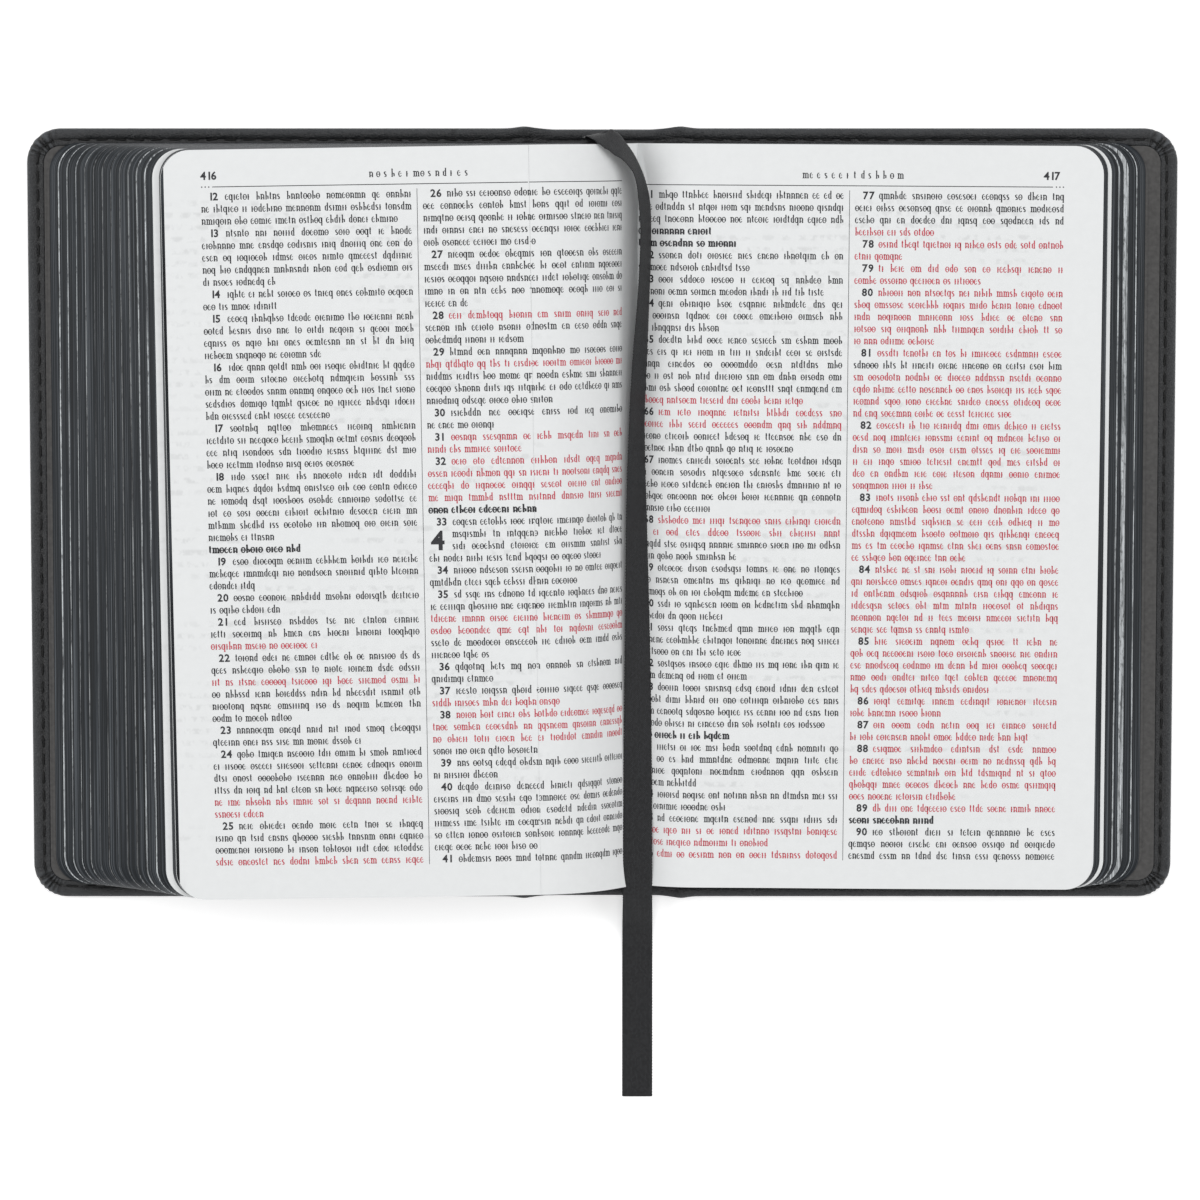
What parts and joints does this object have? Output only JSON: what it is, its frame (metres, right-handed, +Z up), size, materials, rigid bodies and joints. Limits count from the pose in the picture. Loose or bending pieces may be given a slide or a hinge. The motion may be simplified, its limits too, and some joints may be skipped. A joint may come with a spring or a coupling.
{
  "type": "prayer book",
  "caption": "Open thin-paper prayer book in flexible dark leather covers, with stained page edges, stitched rim and a ribbon marker lying in the gutter",
  "frame": {"origin": "on the surface the open book lies on, under the middle of the spine", "axes": "+X toward the back cover's fore-edge, +Y toward the head of the book, +Z up off the surface"},
  "size_m": [0.301, 0.257, 0.0234],
  "materials": {
    "leather": "satin grained, charcoal black",
    "board": "matte",
    "endpaper": "matte, dark grey",
    "page_paper": "thin, smooth, cool white, edges stained blue-black",
    "thread": "waxed",
    "lining": "open weave",
    "glue": "flexible binder's glue",
    "end_band": "wound thread",
    "ribbon": "fine woven, charcoal"
  },
  "bodies": {
    "back_half": {"back_board": "board", "back_leather": "leather", "back_pastedown": "endpaper", "back_flyleaf": "endpaper", "back_stitching": "thread"},
    "spine": {"spine_leather": "leather", "spine_inlay": "board", "spine_lining": "lining", "spine_glue": "glue", "head_band": "end_band", "tail_band": "end_band", "left_page_roots": "page_paper", "right_page_roots": "page_paper", "front_hinge_leather": "leather", "back_hinge_leather": "leather", "ribbon_marker": "ribbon"},
    "front_half": {"front_board": "board", "front_leather": "leather", "front_pastedown": "endpaper", "front_flyleaf": "endpaper", "front_stitching": "thread"},
    "left_bend_04": {"left_bend_04": "page_paper"},
    "left_bend_05": {"left_bend_05": "page_paper"},
    "left_bend_06": {"left_bend_06": "page_paper"},
    "left_bend_07": {"left_bend_07": "page_paper"},
    "left_bend_08": {"left_bend_08": "page_paper"},
    "left_bend_09": {"left_bend_09": "page_paper"},
    "left_bend_10": {"left_bend_10": "page_paper"},
    "left_bend_11": {"left_bend_11": "page_paper"},
    "left_bend_12": {"left_bend_12": "page_paper"},
    "left_bend_13": {"left_bend_13": "page_paper"},
    "left_gathering_04": {"left_gathering_04": "page_paper"},
    "left_gathering_05": {"left_gathering_05": "page_paper"},
    "left_gathering_06": {"left_gathering_06": "page_paper"},
    "left_gathering_07": {"left_gathering_07": "page_paper"},
    "left_gathering_08": {"left_gathering_08": "page_paper"},
    "left_gathering_09": {"left_gathering_09": "page_paper"},
    "left_gathering_10": {"left_gathering_10": "page_paper"},
    "left_gathering_11": {"left_gathering_11": "page_paper"},
    "left_gathering_12": {"left_gathering_12": "page_paper"},
    "left_gathering_13": {"left_gathering_13": "page_paper"},
    "right_bend_04": {"right_bend_04": "page_paper"},
    "right_bend_05": {"right_bend_05": "page_paper"},
    "right_gathering_04": {"right_gathering_04": "page_paper"},
    "right_gathering_05": {"right_gathering_05": "page_paper"},
    "left_gathering_01": {"left_bend_01": "page_paper", "left_gathering_01": "page_paper"},
    "left_gathering_02": {"left_bend_02": "page_paper", "left_gathering_02": "page_paper"},
    "left_gathering_03": {"left_bend_03": "page_paper", "left_gathering_03": "page_paper"},
    "right_gathering_01": {"right_bend_01": "page_paper", "right_gathering_01": "page_paper"},
    "right_gathering_02": {"right_bend_02": "page_paper", "right_gathering_02": "page_paper"},
    "right_gathering_03": {"right_bend_03": "page_paper", "right_gathering_03": "page_paper"},
    "turning_leaf": {"turning_leaf": "page_paper"}
  },
  "joints": [
    {"name": "spine_hinge", "type": "hinge", "parent": "back_half", "child": "spine", "pos_m": [0.01605, 0, 0.00125], "axis": [0, 1, 0], "range_deg": [0, 90], "deforming": ["back_hinge_leather", "right_page_roots", "ribbon_marker"]},
    {"name": "front_hinge", "type": "hinge", "parent": "spine", "child": "front_half", "pos_m": [-0.01605, 0, 0.00125], "axis": [0, 1, 0], "range_deg": [0, 90], "deforming": ["front_hinge_leather", "left_page_roots"]},
    {"name": "left_gathering_01_swing", "type": "hinge", "parent": "spine", "child": "left_gathering_01", "pos_m": [-0.01388, 0, 0.00342], "axis": [0, 1, 0], "range_deg": [0, 90], "deforming": ["left_bend_01"]},
    {"name": "left_gathering_02_swing", "type": "hinge", "parent": "spine", "child": "left_gathering_02", "pos_m": [-0.01265, 0, 0.00465], "axis": [0, 1, 0], "range_deg": [0, 90], "deforming": ["left_bend_02"]},
    {"name": "left_gathering_03_swing", "type": "hinge", "parent": "spine", "child": "left_gathering_03", "pos_m": [-0.01141, 0, 0.00588], "axis": [0, 1, 0], "range_deg": [0, 90], "deforming": ["left_bend_03"]},
    {"name": "left_bend_04_swing", "type": "hinge", "parent": "spine", "child": "left_bend_04", "pos_m": [-0.00923, 0, 0.00481], "axis": [0, 1, 0], "range_deg": [0, 45], "deforming": ["left_bend_04"]},
    {"name": "left_gathering_04_swing", "type": "hinge", "parent": "left_bend_04", "child": "left_gathering_04", "pos_m": [-0.01249, 0, 0.00807], "axis": [0, 1, 0], "range_deg": [0, 45]},
    {"name": "left_bend_05_swing", "type": "hinge", "parent": "spine", "child": "left_bend_05", "pos_m": [-0.00774, 0, 0.00543], "axis": [0, 1, 0], "range_deg": [0, 45], "deforming": ["left_bend_05"]},
    {"name": "left_gathering_05_swing", "type": "hinge", "parent": "left_bend_05", "child": "left_gathering_05", "pos_m": [-0.01187, 0, 0.00956], "axis": [0, 1, 0], "range_deg": [0, 45]},
    {"name": "left_bend_06_swing", "type": "hinge", "parent": "spine", "child": "left_bend_06", "pos_m": [-0.00625, 0, 0.00604], "axis": [0, 1, 0], "range_deg": [0, 45], "deforming": ["left_bend_06"]},
    {"name": "left_gathering_06_swing", "type": "hinge", "parent": "left_bend_06", "child": "left_gathering_06", "pos_m": [-0.01125, 0, 0.01105], "axis": [0, 1, 0], "range_deg": [0, 45]},
    {"name": "left_bend_07_swing", "type": "hinge", "parent": "spine", "child": "left_bend_07", "pos_m": [-0.00476, 0, 0.00666], "axis": [0, 1, 0], "range_deg": [0, 45], "deforming": ["left_bend_07"]},
    {"name": "left_gathering_07_swing", "type": "hinge", "parent": "left_bend_07", "child": "left_gathering_07", "pos_m": [-0.01064, 0, 0.01253], "axis": [0, 1, 0], "range_deg": [0, 45]},
    {"name": "left_bend_08_swing", "type": "hinge", "parent": "spine", "child": "left_bend_08", "pos_m": [-0.00327, 0, 0.00728], "axis": [0, 1, 0], "range_deg": [0, 45], "deforming": ["left_bend_08"]},
    {"name": "left_gathering_08_swing", "type": "hinge", "parent": "left_bend_08", "child": "left_gathering_08", "pos_m": [-0.01002, 0, 0.01402], "axis": [0, 1, 0], "range_deg": [0, 45]},
    {"name": "left_bend_09_swing", "type": "hinge", "parent": "spine", "child": "left_bend_09", "pos_m": [-0.00178, 0, 0.00789], "axis": [0, 1, 0], "range_deg": [0, 45], "deforming": ["left_bend_09"]},
    {"name": "left_gathering_09_swing", "type": "hinge", "parent": "left_bend_09", "child": "left_gathering_09", "pos_m": [-0.0094, 0, 0.01551], "axis": [0, 1, 0], "range_deg": [0, 45]},
    {"name": "left_bend_10_swing", "type": "hinge", "parent": "spine", "child": "left_bend_10", "pos_m": [-0.0003, 0, 0.00851], "axis": [0, 1, 0], "range_deg": [0, 45], "deforming": ["left_bend_10"]},
    {"name": "left_gathering_10_swing", "type": "hinge", "parent": "left_bend_10", "child": "left_gathering_10", "pos_m": [-0.00878, 0, 0.017], "axis": [0, 1, 0], "range_deg": [0, 45]},
    {"name": "left_bend_11_swing", "type": "hinge", "parent": "spine", "child": "left_bend_11", "pos_m": [0.00119, 0, 0.00913], "axis": [0, 1, 0], "range_deg": [0, 45], "deforming": ["left_bend_11"]},
    {"name": "left_gathering_11_swing", "type": "hinge", "parent": "left_bend_11", "child": "left_gathering_11", "pos_m": [-0.00817, 0, 0.01849], "axis": [0, 1, 0], "range_deg": [0, 45]},
    {"name": "left_bend_12_swing", "type": "hinge", "parent": "spine", "child": "left_bend_12", "pos_m": [0.00268, 0, 0.00975], "axis": [0, 1, 0], "range_deg": [0, 45], "deforming": ["left_bend_12"]},
    {"name": "left_gathering_12_swing", "type": "hinge", "parent": "left_bend_12", "child": "left_gathering_12", "pos_m": [-0.00755, 0, 0.01998], "axis": [0, 1, 0], "range_deg": [0, 45]},
    {"name": "left_bend_13_swing", "type": "hinge", "parent": "spine", "child": "left_bend_13", "pos_m": [0.00417, 0, 0.01036], "axis": [0, 1, 0], "range_deg": [0, 45], "deforming": ["left_bend_13"]},
    {"name": "left_gathering_13_swing", "type": "hinge", "parent": "left_bend_13", "child": "left_gathering_13", "pos_m": [-0.00693, 0, 0.02147], "axis": [0, 1, 0], "range_deg": [0, 45]},
    {"name": "right_gathering_01_swing", "type": "hinge", "parent": "spine", "child": "right_gathering_01", "pos_m": [0.01388, 0, 0.00342], "axis": [0, 1, 0], "range_deg": [-90, 0], "deforming": ["right_bend_01"]},
    {"name": "right_gathering_02_swing", "type": "hinge", "parent": "spine", "child": "right_gathering_02", "pos_m": [0.01265, 0, 0.00465], "axis": [0, 1, 0], "range_deg": [-90, 0], "deforming": ["right_bend_02"]},
    {"name": "right_gathering_03_swing", "type": "hinge", "parent": "spine", "child": "right_gathering_03", "pos_m": [0.01141, 0, 0.00588], "axis": [0, 1, 0], "range_deg": [-90, 0], "deforming": ["right_bend_03"]},
    {"name": "right_bend_04_swing", "type": "hinge", "parent": "spine", "child": "right_bend_04", "pos_m": [0.00923, 0, 0.00481], "axis": [0, 1, 0], "range_deg": [-45, 0], "deforming": ["right_bend_04"]},
    {"name": "right_gathering_04_swing", "type": "hinge", "parent": "right_bend_04", "child": "right_gathering_04", "pos_m": [0.01249, 0, 0.00807], "axis": [0, 1, 0], "range_deg": [-45, 0]},
    {"name": "right_bend_05_swing", "type": "hinge", "parent": "spine", "child": "right_bend_05", "pos_m": [0.00774, 0, 0.00543], "axis": [0, 1, 0], "range_deg": [-45, 0], "deforming": ["right_bend_05"]},
    {"name": "right_gathering_05_swing", "type": "hinge", "parent": "right_bend_05", "child": "right_gathering_05", "pos_m": [0.01187, 0, 0.00956], "axis": [0, 1, 0], "range_deg": [-45, 0]},
    {"name": "leaf_turn", "type": "hinge", "parent": "left_gathering_13", "child": "turning_leaf", "pos_m": [-0.0148, 0, 0.02335], "axis": [0, -1, 0], "range_deg": [-180, 0], "deforming": ["turning_leaf"]}
  ],
  "couplings": [
    {"joint": "left_gathering_01_swing", "follows": "front_hinge", "ratio": 1},
    {"joint": "left_gathering_02_swing", "follows": "front_hinge", "ratio": 1},
    {"joint": "left_gathering_03_swing", "follows": "front_hinge", "ratio": 1},
    {"joint": "left_bend_04_swing", "follows": "front_hinge", "ratio": 0.5},
    {"joint": "left_gathering_04_swing", "follows": "front_hinge", "ratio": 0.5},
    {"joint": "left_bend_05_swing", "follows": "front_hinge", "ratio": 0.5},
    {"joint": "left_gathering_05_swing", "follows": "front_hinge", "ratio": 0.5},
    {"joint": "left_bend_06_swing", "follows": "front_hinge", "ratio": 0.5},
    {"joint": "left_gathering_06_swing", "follows": "front_hinge", "ratio": 0.5},
    {"joint": "left_bend_07_swing", "follows": "front_hinge", "ratio": 0.5},
    {"joint": "left_gathering_07_swing", "follows": "front_hinge", "ratio": 0.5},
    {"joint": "left_bend_08_swing", "follows": "front_hinge", "ratio": 0.5},
    {"joint": "left_gathering_08_swing", "follows": "front_hinge", "ratio": 0.5},
    {"joint": "left_bend_09_swing", "follows": "front_hinge", "ratio": 0.5},
    {"joint": "left_gathering_09_swing", "follows": "front_hinge", "ratio": 0.5},
    {"joint": "left_bend_10_swing", "follows": "front_hinge", "ratio": 0.5},
    {"joint": "left_gathering_10_swing", "follows": "front_hinge", "ratio": 0.5},
    {"joint": "left_bend_11_swing", "follows": "front_hinge", "ratio": 0.5},
    {"joint": "left_gathering_11_swing", "follows": "front_hinge", "ratio": 0.5},
    {"joint": "left_bend_12_swing", "follows": "front_hinge", "ratio": 0.5},
    {"joint": "left_gathering_12_swing", "follows": "front_hinge", "ratio": 0.5},
    {"joint": "left_bend_13_swing", "follows": "front_hinge", "ratio": 0.5},
    {"joint": "left_gathering_13_swing", "follows": "front_hinge", "ratio": 0.5},
    {"joint": "right_gathering_01_swing", "follows": "spine_hinge", "ratio": -1},
    {"joint": "right_gathering_02_swing", "follows": "spine_hinge", "ratio": -1},
    {"joint": "right_gathering_03_swing", "follows": "spine_hinge", "ratio": -1},
    {"joint": "right_bend_04_swing", "follows": "spine_hinge", "ratio": -0.5},
    {"joint": "right_gathering_04_swing", "follows": "spine_hinge", "ratio": -0.5},
    {"joint": "right_bend_05_swing", "follows": "spine_hinge", "ratio": -0.5},
    {"joint": "right_gathering_05_swing", "follows": "spine_hinge", "ratio": -0.5}
  ]
}
